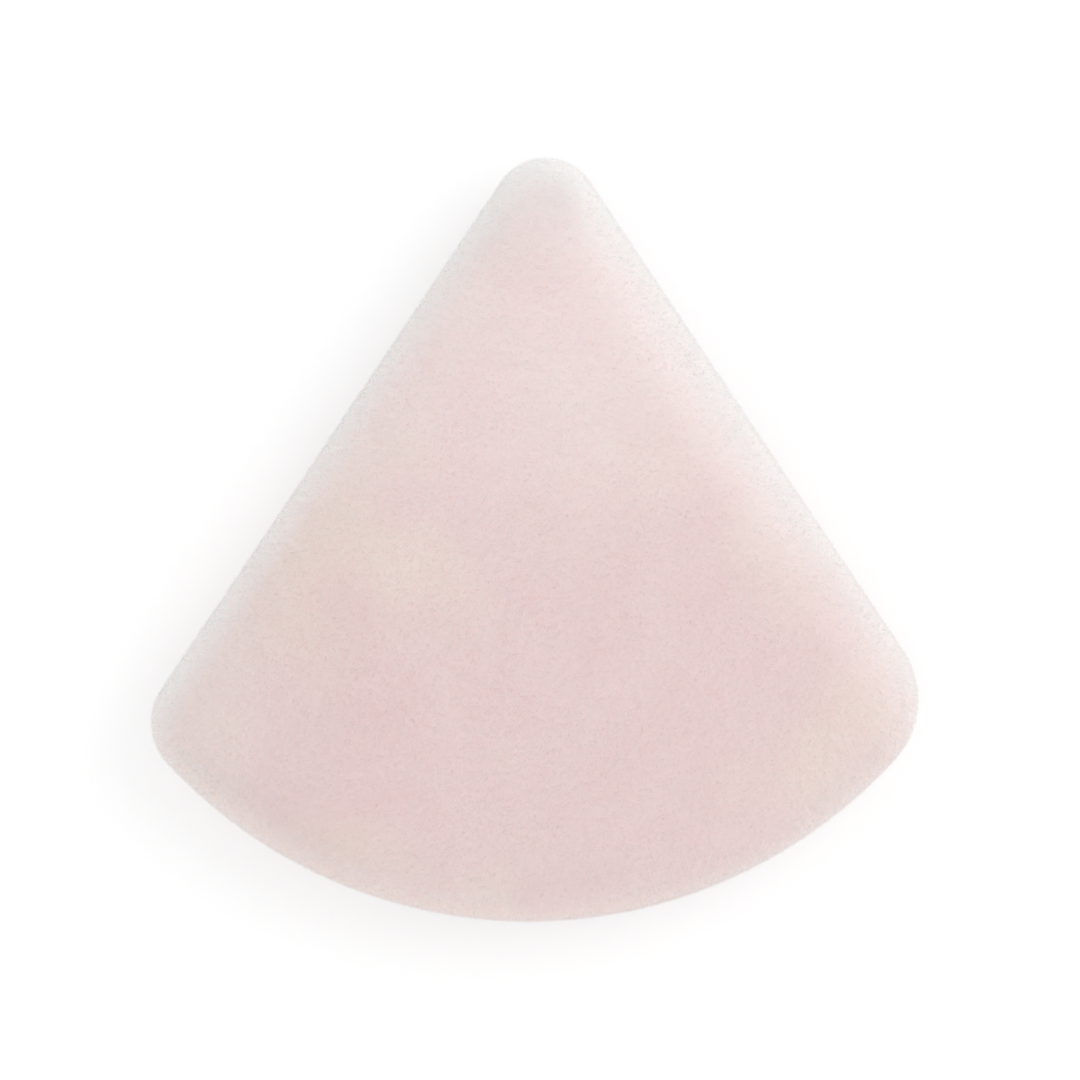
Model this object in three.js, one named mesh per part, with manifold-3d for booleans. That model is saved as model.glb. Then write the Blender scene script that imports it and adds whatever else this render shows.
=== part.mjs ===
// A triangular powder puff of short velour, lying face up on a table as in daily use.
// Two velour covers are sewn together inside out round their edge, turned through a gap in
// the curved edge, filled with a soft foam pad and closed by hand. A satin ribbon is sewn
// into both straight side seams and crosses the back: the strap that the fingers go under.
// Millimetres, +X to the right, +Y towards the tip, +Z up, z = 0 under the ribbon.

import * as THREE from 'three';
import { mergeVertices } from 'three/addons/utils/BufferGeometryUtils.js';
import Module from 'manifold-3d';

const wasm = await Module();
wasm.setup();

// Outline seen from above: two straight sides, one curved edge, three round corners.
// Places along Y are distances below the point where the two sides would cross.
const TIP_ANGLE_DEGREES = 67.6;
const ARC_RADIUS = 51.3;
const ARC_CENTRE_BELOW_TIP = 32.9;
const ARC_CENTRE_TO_LEFT = 1.7;
const TIP_ROUND = 5.7;
const LEFT_CORNER_ROUND = 6.4;
const RIGHT_CORNER_ROUND = 9.4;

// Thickness of the stuffed puff, above and below the plane of the seam.
const FRONT_DEPTH = 6.6;
const BACK_DEPTH = 5.4;
const FRONT_FULLNESS = 3.2; // exponent of the crown: 2 is an ellipse, larger is fuller
const BACK_FULLNESS = 2.6;
const BACK_ROLL_WIDTH = 12; // from the back's edge in to its flat middle

// Velour, and how its edges are turned in at the seam.
const VELOUR_THICKNESS = 1.3;
const SEAM_ALLOWANCE = 5;
const FRONT_ROLL = 1.5; // the front's widest line lies this far above the seam
const BACK_LIP_ROUND = 0.35;
const SEAM_RECESS = 0.6; // the seam lies this far inside the back's widest line
const RIBBON_COVER = 0.2; // the front reaches this far over the ribbon at the side seams

// Ribbon strap.
const RIBBON_THICKNESS = 0.5;
const RIBBON_WIDTH = 20;
const RIBBON_BELOW_TIP = 47; // middle of the ribbon

// Sewing threads.
const THREAD_THICKNESS = 0.4;
const STITCH_LINE_INSET = 1.8; // from the fold of the seam in to the line of stitches
const CLOSED_GAP_LENGTH = 34; // the turning gap in the curved edge, sewn up by hand
const HAND_STITCH_LENGTH = 3.4;
const HAND_STITCH_RISE = 0.4;

// Room left between neighbours that touch, and how far a cutter overruns what it cuts.
const CLEARANCE = 0.3;
const CUT_OVERRUN = 2;

// Steps along each stretch of the outline, and along the curves of the section.
const TIP_STEPS = 9;
const SIDE_STEPS = 4;
const LEFT_CORNER_STEPS = 7;
const RIGHT_CORNER_STEPS = 8;
const ARC_STEPS = 16;
const CROWN_STEPS = 8;
const ROLL_STEPS = 3;
const THREAD_SIDES = 6;
const STEPS_PER_HAND_STITCH = 5;

// Heights and insets that follow. An inset is measured inwards from the outline.
const halfAngle = THREE.MathUtils.degToRad(TIP_ANGLE_DEGREES / 2);
const arcCentre = new THREE.Vector2(-ARC_CENTRE_TO_LEFT, -ARC_CENTRE_BELOW_TIP);
const insideRadius = inscribedRadius();
const middle = new THREE.Vector2(0, -insideRadius / Math.sin(halfAngle));

const backFaceZ = RIBBON_THICKNESS + CLEARANCE;
const seamZ = backFaceZ + BACK_DEPTH;
const frontWidestZ = seamZ + FRONT_ROLL;
const frontFaceZ = seamZ + FRONT_DEPTH;
const pocketHalfHeight = RIBBON_THICKNESS / 2 + CLEARANCE;
const backWidestZ = seamZ - pocketHalfHeight - BACK_LIP_ROUND;

const backInset = RIBBON_THICKNESS + CLEARANCE + RIBBON_COVER;
const seamInset = backInset + SEAM_RECESS;
const allowanceInset = seamInset + SEAM_ALLOWANCE;
const stitchInset = seamInset + STITCH_LINE_INSET;
const flatInset = backInset + BACK_ROLL_WIDTH;

const frontContactZ = seamZ + CLEARANCE / 2;
const backContactZ = seamZ - CLEARANCE / 2;
const frontAllowanceZ = frontContactZ + VELOUR_THICKNESS;
const backAllowanceZ = backContactZ - VELOUR_THICKNESS;

const velourPink = { color: 0xe5d2ce, roughness: 0.95, metalness: 0 };
const velourBackPink = { color: 0xe2cdc9, roughness: 0.95, metalness: 0 };
const foamWhite = { color: 0xf4efe6, roughness: 0.9, metalness: 0 };
const threadPink = { color: 0xe8d0cb, roughness: 0.6, metalness: 0 };
const satinPink = { color: 0xeed9d5, roughness: 0.35, metalness: 0 };

// Radius of the largest circle inside the outline: insets run from zero to this.
function inscribedRadius() {
  const slope = 1 / Math.sin(halfAngle);
  const a = slope * slope - 1;
  const b = ARC_RADIUS - ARC_CENTRE_BELOW_TIP * slope;
  const c = arcCentre.lengthSq() - ARC_RADIUS * ARC_RADIUS;
  return (Math.sqrt(b * b - a * c) - b) / a;
}

// Centre of a corner's round, which lies `depth` inside its straight side (-1 left, 1 right)
// and as deep inside the curved edge.
function cornerCentre(side, depth) {
  const start = new THREE.Vector2(0, -depth / Math.sin(halfAngle));
  const along = new THREE.Vector2(side * Math.sin(halfAngle), -Math.cos(halfAngle));
  const from = start.clone().sub(arcCentre);
  const b = from.dot(along);
  const c = from.lengthSq() - (ARC_RADIUS - depth) ** 2;
  return start.addScaledVector(along, Math.sqrt(b * b - c) - b);
}

// The outline's six stretches at an inset, counter-clockwise from the right of the tip.
// The rounds shrink with the inset, so that each outline is smooth and fits in the last.
function outlineCurves(inset) {
  const shrink = 1 - inset / insideRadius;
  const tipRound = TIP_ROUND * shrink;
  const leftRound = LEFT_CORNER_ROUND * shrink;
  const rightRound = RIGHT_CORNER_ROUND * shrink;
  const tipY = -(inset + tipRound) / Math.sin(halfAngle);
  const left = cornerCentre(-1, inset + leftRound);
  const right = cornerCentre(1, inset + rightRound);
  const leftMeets = left.clone().sub(arcCentre).angle();
  const rightMeets = right.clone().sub(arcCentre).angle();
  const leftFacing = Math.PI - halfAngle;
  const rightFacing = 2 * Math.PI + halfAngle;
  const tip = new THREE.ArcCurve(0, tipY, tipRound, halfAngle, leftFacing);
  const leftCorner = new THREE.ArcCurve(left.x, left.y, leftRound, leftFacing, leftMeets);
  const arc = new THREE.ArcCurve(
    arcCentre.x, arcCentre.y, ARC_RADIUS - inset, leftMeets, rightMeets);
  const rightCorner = new THREE.ArcCurve(
    right.x, right.y, rightRound, rightMeets, rightFacing);
  const leftSide = new THREE.LineCurve(tip.getPoint(1), leftCorner.getPoint(0));
  const rightSide = new THREE.LineCurve(rightCorner.getPoint(1), tip.getPoint(0));
  return { tip, leftSide, leftCorner, arc, rightCorner, rightSide };
}

// Points of stretches that follow each other, without the last point of each.
function pointsAlong(stretches) {
  return stretches.flatMap(([curve, steps]) => curve.getPoints(steps).slice(0, -1));
}

function outlineRing(inset) {
  const { tip, leftSide, leftCorner, arc, rightCorner, rightSide } = outlineCurves(inset);
  return pointsAlong([
    [tip, TIP_STEPS],
    [leftSide, SIDE_STEPS],
    [leftCorner, LEFT_CORNER_STEPS],
    [arc, ARC_STEPS],
    [rightCorner, RIGHT_CORNER_STEPS],
    [rightSide, SIDE_STEPS],
  ]);
}

// A closed body from a section: its first and last points lie on the middle of the puff,
// and each point between them is a ring round the outline at that inset and height.
function bodyFromSection(section) {
  const positions = [];
  const faces = [];
  const rings = section.slice(1, -1);
  const count = outlineRing(0).length;
  const addPoint = (point, z) => positions.push(point.x, point.y, z) / 3 - 1;
  const firstPole = addPoint(middle, section[0].z);
  const starts = rings.map(({ inset, z }) => {
    const start = positions.length / 3;
    outlineRing(inset).forEach((point) => addPoint(point, z));
    return start;
  });
  const lastPole = addPoint(middle, section.at(-1).z);
  for (let i = 0; i < count; i += 1) {
    const next = (i + 1) % count;
    faces.push(firstPole, starts[0] + i, starts[0] + next);
    faces.push(starts.at(-1) + i, lastPole, starts.at(-1) + next);
    for (let k = 1; k < starts.length; k += 1) {
      const [before, after] = [starts[k - 1], starts[k]];
      faces.push(before + i, after + i, after + next);
      faces.push(before + i, after + next, before + next);
    }
  }
  return indexedGeometry(positions, faces);
}

function indexedGeometry(positions, faces) {
  const geometry = new THREE.BufferGeometry();
  geometry.setAttribute('position', new THREE.Float32BufferAttribute(positions, 3));
  geometry.setIndex(faces);
  return geometry;
}

// The crown of the front, `under` its surface by a thickness. Turn 0 is the widest line
// and a quarter turn the middle of the face.
function frontCrown(turn, under = 0) {
  return crown(turn, under, 0, insideRadius, FRONT_FULLNESS, frontWidestZ, FRONT_DEPTH - FRONT_ROLL);
}

// The crown of the back, which faces down and is flat from flatInset inwards.
function backCrown(turn, under = 0) {
  const depth = backWidestZ - backFaceZ;
  return crown(turn, under, backInset, BACK_ROLL_WIDTH, BACK_FULLNESS, backWidestZ, -depth);
}

function crown(turn, under, edgeInset, width, fullness, edgeZ, rise) {
  const across = Math.cos(turn) ** (2 / fullness);
  const up = Math.sin(turn) ** (2 / fullness);
  const normal = new THREE.Vector2(
    -(across ** (fullness - 1)) / width, up ** (fullness - 1) / rise).normalize();
  return {
    inset: edgeInset + width * (1 - across) - under * normal.x,
    z: edgeZ + rise * up - under * normal.y,
  };
}

// Turns from the widest line to the middle, without the quarter turn itself.
function crownTurns() {
  return Array.from({ length: CROWN_STEPS }, (_, i) => (i / CROWN_STEPS) * (Math.PI / 2));
}

// A quarter round from a cover's widest line to the fold at the seam, without its start.
function lipRoll(widestInset, widestZ, foldZ) {
  return Array.from({ length: ROLL_STEPS }, (_, i) => {
    const turn = ((i + 1) / ROLL_STEPS) * (Math.PI / 2);
    return {
      inset: widestInset + (seamInset - widestInset) * (1 - Math.cos(turn)),
      z: widestZ + (foldZ - widestZ) * Math.sin(turn),
    };
  });
}

// The turned-in allowance from its cut edge out to its root. The line of stitches pulls a
// groove into the side that faces the foam; `away` is 1 up and -1 down from the seam.
function allowanceInside(z, away, rootInset) {
  const groove = THREAD_THICKNESS / 2 + CLEARANCE;
  return [
    { inset: allowanceInset, z },
    { inset: stitchInset + groove, z },
    { inset: stitchInset, z: z - away * THREAD_THICKNESS },
    { inset: stitchInset - groove, z },
    { inset: rootInset, z },
  ];
}

function frontCoverSection() {
  const rootInset = frontCrown(0, VELOUR_THICKNESS).inset;
  const outside = crownTurns().map((turn) => frontCrown(turn)).reverse();
  const inside = crownTurns()
    .map((turn) => frontCrown(turn, VELOUR_THICKNESS))
    .filter(({ z }) => z > frontAllowanceZ + CLEARANCE);
  return [
    { z: frontFaceZ },
    ...outside,
    ...lipRoll(0, frontWidestZ, frontContactZ),
    { inset: allowanceInset, z: frontContactZ },
    ...allowanceInside(frontAllowanceZ, 1, rootInset),
    ...inside,
    { z: frontFaceZ - VELOUR_THICKNESS },
  ];
}

function backCoverSection() {
  const rootInset = backCrown(0, VELOUR_THICKNESS).inset;
  const flat = { inset: flatInset, z: backFaceZ };
  const outside = crownTurns().map((turn) => backCrown(turn));
  const inside = crownTurns()
    .map((turn) => backCrown(turn, VELOUR_THICKNESS))
    .filter(({ z }) => z < backAllowanceZ - CLEARANCE);
  return [
    { z: backFaceZ + VELOUR_THICKNESS },
    { inset: flatInset, z: backFaceZ + VELOUR_THICKNESS },
    ...inside.reverse(),
    ...allowanceInside(backAllowanceZ, -1, rootInset).reverse(),
    { inset: allowanceInset, z: backContactZ },
    ...lipRoll(backInset, backWidestZ, backContactZ).reverse(),
    ...outside,
    flat,
    { z: backFaceZ },
  ];
}

// The pad fills the covers, with a groove round its edge that takes the seam allowances
// and the threads on them.
function foamSection() {
  const under = VELOUR_THICKNESS + CLEARANCE;
  const overThread = THREAD_THICKNESS + CLEARANCE;
  const grooveTopZ = frontAllowanceZ + overThread;
  const grooveFloorZ = backAllowanceZ - overThread;
  const grooveInset = allowanceInset + CLEARANCE;
  const top = crownTurns()
    .map((turn) => frontCrown(turn, under))
    .filter(({ z }) => z > grooveTopZ + CLEARANCE);
  const bottom = crownTurns()
    .map((turn) => backCrown(turn, under))
    .filter(({ z }) => z < grooveFloorZ - CLEARANCE);
  return [
    { z: frontFaceZ - under },
    ...top.toReversed(),
    { inset: top[0].inset, z: grooveTopZ },
    { inset: grooveInset, z: grooveTopZ },
    { inset: grooveInset, z: grooveFloorZ },
    { inset: bottom[0].inset, z: grooveFloorZ },
    ...bottom,
    { inset: flatInset, z: backFaceZ + under },
    { z: backFaceZ + under },
  ];
}

// A place on a straight side, by its distance below the tip and its inset.
function sidePoint(side, belowTip, inset) {
  const halfWidth = belowTip * Math.tan(halfAngle) - inset / Math.cos(halfAngle);
  return new THREE.Vector2(side * halfWidth, -belowTip);
}

const ribbonRows = [
  RIBBON_BELOW_TIP - RIBBON_WIDTH / 2,
  RIBBON_BELOW_TIP + RIBBON_WIDTH / 2,
];

// One face of a ribbon run, from the edge of the flat span, up over the back's roll and
// through the seam to the cut end between the allowances. `off` is its distance from the
// back cover, and its height in the seam is as far above the pocket's floor.
function ribbonRunFace(off) {
  const pocketFloorZ = seamZ - pocketHalfHeight;
  const rise = [{ inset: flatInset - CLEARANCE, z: backFaceZ - off }];
  for (const turn of crownTurns().reverse()) {
    rise.push(backCrown(turn, -off));
  }
  for (let i = 0; i <= ROLL_STEPS; i += 1) {
    const turn = (i / ROLL_STEPS) * (Math.PI / 2);
    rise.push({
      inset: backInset - off * Math.cos(turn),
      z: pocketFloorZ + off * Math.sin(turn),
    });
  }
  rise.push({ inset: allowanceInset, z: pocketFloorZ + off });
  return rise;
}

function ribbonRun(side) {
  const inner = ribbonRunFace(CLEARANCE);
  const outer = ribbonRunFace(CLEARANCE + RIBBON_THICKNESS);
  const rows = side < 0 ? ribbonRows : ribbonRows.toReversed();
  const positions = [];
  const faces = [];
  inner.forEach((_, k) => {
    for (const belowTip of rows) {
      for (const { inset, z } of [inner[k], outer[k]]) {
        const point = sidePoint(side, belowTip, inset);
        positions.push(point.x, point.y, z);
      }
    }
  });
  const quad = (a, b, c, d) => faces.push(a, b, c, a, c, d);
  const corners = ["inner", "outer", "innerOnNextRow", "outerOnNextRow"];
  const cornersAt = (k) => corners.map((_, corner) => k * corners.length + corner);
  for (let k = 1; k < inner.length; k += 1) {
    const [a, b, c, d] = cornersAt(k - 1);
    const [nextA, nextB, nextC, nextD] = cornersAt(k);
    quad(a, nextA, nextC, c);
    quad(b, d, nextD, nextB);
    quad(a, b, nextB, nextA);
    quad(c, nextC, nextD, d);
  }
  const [firstA, firstB, firstC, firstD] = cornersAt(0);
  const [lastA, lastB, lastC, lastD] = cornersAt(inner.length - 1);
  quad(firstA, firstC, firstD, firstB);
  quad(lastA, lastB, lastD, lastC);
  return indexedGeometry(positions, faces);
}

function ribbonSpan() {
  const [upper, lower] = ribbonRows;
  const shape = new THREE.Shape([
    sidePoint(-1, lower, flatInset),
    sidePoint(1, lower, flatInset),
    sidePoint(1, upper, flatInset),
    sidePoint(-1, upper, flatInset),
  ]);
  return new THREE.ExtrudeGeometry(shape, { depth: RIBBON_THICKNESS, bevelEnabled: false });
}

// The room that a ribbon end takes between the allowances and through the seam.
function ribbonPocket(side) {
  const [upper, lower] = [ribbonRows[0] - CLEARANCE, ribbonRows[1] + CLEARANCE];
  const shape = new THREE.Shape([
    sidePoint(side, upper, -CUT_OVERRUN),
    sidePoint(side, lower, -CUT_OVERRUN),
    sidePoint(side, lower, allowanceInset + CUT_OVERRUN),
    sidePoint(side, upper, allowanceInset + CUT_OVERRUN),
  ]);
  const settings = { depth: 2 * pocketHalfHeight, bevelEnabled: false };
  const geometry = new THREE.ExtrudeGeometry(shape, settings);
  geometry.translate(0, 0, seamZ - pocketHalfHeight);
  geometry.deleteAttribute('normal');
  geometry.deleteAttribute('uv');
  return mergeVertices(geometry);
}

function toSolid(geometry) {
  const vertProperties = Float32Array.from(geometry.attributes.position.array);
  const triVerts = Uint32Array.from(geometry.index.array);
  return new wasm.Manifold(new wasm.Mesh({ numProp: 3, vertProperties, triVerts }));
}

function withRibbonPockets(cover) {
  const solid = [-1, 1].reduce(
    (rest, side) => rest.subtract(toSolid(ribbonPocket(side))), toSolid(cover));
  const { vertProperties, triVerts } = solid.getMesh();
  return indexedGeometry(Array.from(vertProperties), Array.from(triVerts));
}

function threadAlong(points) {
  const path = new THREE.CurvePath();
  for (let i = 1; i < points.length; i += 1) {
    path.add(new THREE.LineCurve3(points[i - 1], points[i]));
  }
  const section = new THREE.Shape();
  for (let i = 0; i < THREAD_SIDES; i += 1) {
    const turn = (i / THREAD_SIDES) * 2 * Math.PI;
    const [x, y] = [Math.cos(turn), Math.sin(turn)].map((n) => (n * THREAD_THICKNESS) / 2);
    if (i === 0) section.moveTo(x, y);
    else section.lineTo(x, y);
  }
  return new THREE.ExtrudeGeometry(section, {
    steps: points.length - 1,
    extrudePath: path,
    bevelEnabled: false,
  });
}

// One thread of the machine seam: all round the outline except for the turning gap.
function seamThread(z) {
  const stretches = outlineCurves(stitchInset);
  const { tip, leftSide, leftCorner, arc, rightCorner, rightSide } = stretches;
  const radius = ARC_RADIUS - stitchInset;
  const gapTurn = CLOSED_GAP_LENGTH / ARC_RADIUS;
  const gapMiddle = (arc.aStartAngle + arc.aEndAngle) / 2;
  const gapEnds = [gapMiddle - gapTurn / 2, gapMiddle + gapTurn / 2];
  const arcFromGap = new THREE.ArcCurve(
    arcCentre.x, arcCentre.y, radius, gapEnds[1], arc.aEndAngle);
  const arcToGap = new THREE.ArcCurve(
    arcCentre.x, arcCentre.y, radius, arc.aStartAngle, gapEnds[0]);
  const points = pointsAlong([
    [arcFromGap, ARC_STEPS / 4],
    [rightCorner, RIGHT_CORNER_STEPS],
    [rightSide, SIDE_STEPS],
    [tip, TIP_STEPS],
    [leftSide, SIDE_STEPS],
    [leftCorner, LEFT_CORNER_STEPS],
    [arcToGap, ARC_STEPS / 4],
  ]);
  points.push(arcToGap.getPoint(1));
  return threadAlong(points.map(({ x, y }) => new THREE.Vector3(x, y, z)));
}

// The hand stitches that close the turning gap, in the groove between the two folds.
function handStitches() {
  const { arc } = outlineCurves(0);
  const inset = backInset - CLEARANCE - THREAD_THICKNESS / 2;
  const gapTurn = CLOSED_GAP_LENGTH / ARC_RADIUS;
  const gapMiddle = (arc.aStartAngle + arc.aEndAngle) / 2;
  const stitches = Math.round(CLOSED_GAP_LENGTH / HAND_STITCH_LENGTH);
  const steps = stitches * STEPS_PER_HAND_STITCH;
  const middleZ = seamZ - HAND_STITCH_RISE;
  const points = Array.from({ length: steps + 1 }, (_, i) => {
    const turn = gapMiddle + (i / steps - 1 / 2) * gapTurn;
    const z = middleZ + HAND_STITCH_RISE * Math.sin((i / steps) * stitches * Math.PI);
    const radius = ARC_RADIUS - inset;
    return new THREE.Vector3(
      arcCentre.x + radius * Math.cos(turn), arcCentre.y + radius * Math.sin(turn), z);
  });
  return threadAlong(points);
}

const puff = new THREE.Group();
const outlineBox = new THREE.Box2().setFromPoints(outlineRing(0));
const outlineMiddle = outlineBox.getCenter(new THREE.Vector2());
puff.position.set(-outlineMiddle.x, -outlineMiddle.y, 0);

function addPiece(name, geometry, finish) {
  const mesh = new THREE.Mesh(geometry, new THREE.MeshStandardMaterial(finish));
  mesh.name = name;
  puff.add(mesh);
}

const threadLift = THREAD_THICKNESS / 2;
addPiece('front_cover', withRibbonPockets(bodyFromSection(frontCoverSection())), velourPink);
addPiece('back_cover', withRibbonPockets(bodyFromSection(backCoverSection())), velourBackPink);
addPiece('foam_core', bodyFromSection(foamSection()), foamWhite);
addPiece('needle_thread', seamThread(frontAllowanceZ + threadLift), threadPink);
addPiece('bobbin_thread', seamThread(backAllowanceZ - threadLift), threadPink);
addPiece('closing_stitches', handStitches(), threadPink);
addPiece('strap_span', ribbonSpan(), satinPink);
addPiece('strap_left_run', ribbonRun(-1), satinPink);
addPiece('strap_right_run', ribbonRun(1), satinPink);

export default puff;
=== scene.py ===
"""A triangular powder puff: two velour covers with a real pile, sewn round a foam pad, and
a satin ribbon strap across the back. Metres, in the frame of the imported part."""

import math

import bpy
import numpy as np
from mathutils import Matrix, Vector, noise


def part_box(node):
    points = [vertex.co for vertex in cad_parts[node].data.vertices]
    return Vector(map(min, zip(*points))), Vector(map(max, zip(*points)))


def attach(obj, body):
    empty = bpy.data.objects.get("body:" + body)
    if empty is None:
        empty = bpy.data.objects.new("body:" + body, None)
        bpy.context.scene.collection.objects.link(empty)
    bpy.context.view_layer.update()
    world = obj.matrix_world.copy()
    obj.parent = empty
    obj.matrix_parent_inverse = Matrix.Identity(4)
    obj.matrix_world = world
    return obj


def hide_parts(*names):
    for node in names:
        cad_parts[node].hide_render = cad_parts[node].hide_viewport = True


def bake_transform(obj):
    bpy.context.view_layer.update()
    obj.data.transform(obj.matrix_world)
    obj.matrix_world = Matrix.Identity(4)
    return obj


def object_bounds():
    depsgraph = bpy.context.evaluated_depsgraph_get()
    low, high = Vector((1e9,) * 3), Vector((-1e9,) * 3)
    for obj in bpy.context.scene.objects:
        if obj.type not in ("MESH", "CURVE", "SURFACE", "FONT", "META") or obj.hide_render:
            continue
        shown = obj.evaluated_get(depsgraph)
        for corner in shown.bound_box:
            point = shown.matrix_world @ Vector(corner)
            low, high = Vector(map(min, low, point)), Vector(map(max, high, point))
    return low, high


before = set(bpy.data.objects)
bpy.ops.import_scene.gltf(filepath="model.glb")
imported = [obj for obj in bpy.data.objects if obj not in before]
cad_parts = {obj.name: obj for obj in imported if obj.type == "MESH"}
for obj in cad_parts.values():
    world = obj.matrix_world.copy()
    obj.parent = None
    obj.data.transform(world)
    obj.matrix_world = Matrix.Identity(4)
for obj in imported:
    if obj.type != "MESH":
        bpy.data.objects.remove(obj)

CAD_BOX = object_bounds()
MM = 0.001

# Outline of the sewn puff from above. Insets are measured inwards from it.
HALF_TIP_ANGLE = math.radians(33.8)
ARC_RADIUS = 51.3 * MM
ARC_CENTRE_BELOW_TIP = 32.9 * MM
ARC_CENTRE_TO_LEFT = 1.7 * MM
TIP_ROUND = 5.7 * MM
LEFT_CORNER_ROUND = 6.4 * MM
RIGHT_CORNER_ROUND = 9.4 * MM
RIBBON_BELOW_TIP = 47 * MM

# Section of the covers and of the seam between them.
FRONT_ROLL = 1.5 * MM
FRONT_FULLNESS = 3.2
BACK_FULLNESS = 2.6
BACK_ROLL_WIDTH = 12 * MM
BACK_INSET = 1.0 * MM
BACK_WIDEST_BELOW_SEAM = 0.9 * MM
SEAM_INSET = 1.6 * MM
SEAM_ALLOWANCE = 5 * MM
STITCH_INSET = 3.4 * MM
CLOTH_AND_PILE = 1.3 * MM
CLEARANCE = 0.3 * MM
FLAT_INSET = BACK_INSET + BACK_ROLL_WIDTH

# Swell of the pad under the covers, and the room that they leave to a ribbon end.
LUMP_HEIGHT = 0.22 * MM
RIBBON_ROOM = 0.2 * MM

# Pile. The cloth's ground lies this far under the surface that the tips reach.
PILE_DEPTH = 0.3 * MM
FIBRES_IN_A_PIECE = 49000

# Sewing threads and the turning gap in the curved edge that is closed by hand.
THREAD_WIDTH = 0.4 * MM
LOCKSTITCH_LENGTH = 2.5 * MM
CLOSED_GAP_LENGTH = 34 * MM
HAND_STITCHES = 10

# Satin ribbon.
RIBBON_THICKNESS = 0.28 * MM
SELVEDGE_THICKNESS = 0.40 * MM
SELVEDGE_WIDTH = 0.5 * MM

# The photograph: its width in pixels, and the puff's width and middle in it.
PHOTO_PX = 1080
PUFF_WIDTH_PX = 771.5
PUFF_MIDDLE_PX = (534.6, 539.4)

# Steps along each stretch of the outline, and of the rings across the section.
TIP_STEPS = 26
SIDE_STEPS = 44
LEFT_CORNER_STEPS = 20
ARC_STEPS = 96
RIGHT_CORNER_STEPS = 24
CROWN_RINGS = 40
FLAT_RINGS = 14
LIP_RINGS = 6


def add_node(tree, kind, inputs, **settings):
    """Adds a node: its settings first, then its inputs' values or links."""
    node = tree.nodes.new(kind)
    for name, value in settings.items():
        setattr(node, name, value)
    for name, value in inputs.items():
        if isinstance(value, bpy.types.NodeSocket):
            tree.links.new(value, node.inputs[name])
        else:
            node.inputs[name].default_value = value
    return node


class Wire:
    """An output of a shader node. Arithmetic on it adds Math nodes."""

    def __init__(self, finish, socket):
        self.finish, self.socket = finish, socket

    def _math(self, operation, other, **settings):
        return self.finish.node("Math", {0: self, 1: other}, operation=operation, **settings)

    def __add__(self, other):
        return self._math("ADD", other)

    def __sub__(self, other):
        return self._math("SUBTRACT", other)

    def __mul__(self, other):
        return self._math("MULTIPLY", other)

    def clamped(self):
        """The value held between 0 and 1."""
        return self._math("ADD", 0.0, use_clamp=True)


class Finish:
    """A material or a world, built from shader nodes."""

    def __init__(self, name, kind="materials"):
        self.holder = getattr(bpy.data, kind).new(name)
        self.holder.use_nodes = True
        self.tree = self.holder.node_tree
        self.tree.nodes.clear()

    def node(self, kind, inputs, output=0, **settings):
        inputs = {name: getattr(value, "socket", value) for name, value in inputs.items()}
        made = add_node(self.tree, "ShaderNode" + kind, inputs, **settings)
        return Wire(self, made.outputs[output])

    def place(self):
        """The point of the object being shaded, in metres."""
        return self.node("TexCoord", {}, "Object")

    def attribute(self, name):
        """A value that the mesh carries at its points."""
        return self.node("Attribute", {}, "Fac", attribute_name=name)

    def noise(self, grain, detail=2.0, place=None):
        """Noise whose patches are about `grain` metres wide, from 0 to 1."""
        return self.node("TexNoise", {
            "Vector": place or self.place(), "Scale": 1 / grain, "Detail": detail})

    def bands(self, direction, width, distortion):
        """Parallel bands, `width` metres apart. At scale 1 they are pi / 10 apart."""
        return self.node("TexWave", {
            "Vector": self.place(), "Scale": math.pi / 10 / width,
            "Distortion": distortion}, bands_direction=direction)

    def step(self, value, low, high):
        """0 below low, 1 above high and smooth between them."""
        inputs = {"Value": value, "From Min": low, "From Max": high}
        return self.node("MapRange", inputs, interpolation_type="SMOOTHSTEP")

    def mixed(self, share, first, second):
        """A colour between two others: the node's colours are inputs 6 and 7, and output 2."""
        return self.node("Mix", {0: share, 6: first, 7: second}, 2, data_type="RGBA")

    def either(self, share, first, second):
        return self.node("MixShader", {0: share, 1: first, 2: second})

    def seen_by(self, *kinds):
        """1 for rays of these kinds, and 0 for others."""
        rays = [self.node("LightPath", {}, f"Is {kind} Ray") for kind in kinds]
        return sum(rays[1:], rays[0]).clamped()

    def bump(self, height, depth, strength):
        return self.node("Bump", {"Height": height, "Distance": depth, "Strength": strength})

    def seen_as(self, shader, kind="Material"):
        add_node(self.tree, "ShaderNodeOutput" + kind, {"Surface": shader.socket})
        return self.holder

    def surface(self, **sockets):
        """The Principled shader. Underscores in the names stand for spaces."""
        inputs = {name.replace("_", " "): value for name, value in sockets.items()}
        return self.seen_as(self.node("BsdfPrincipled", inputs))


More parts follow.
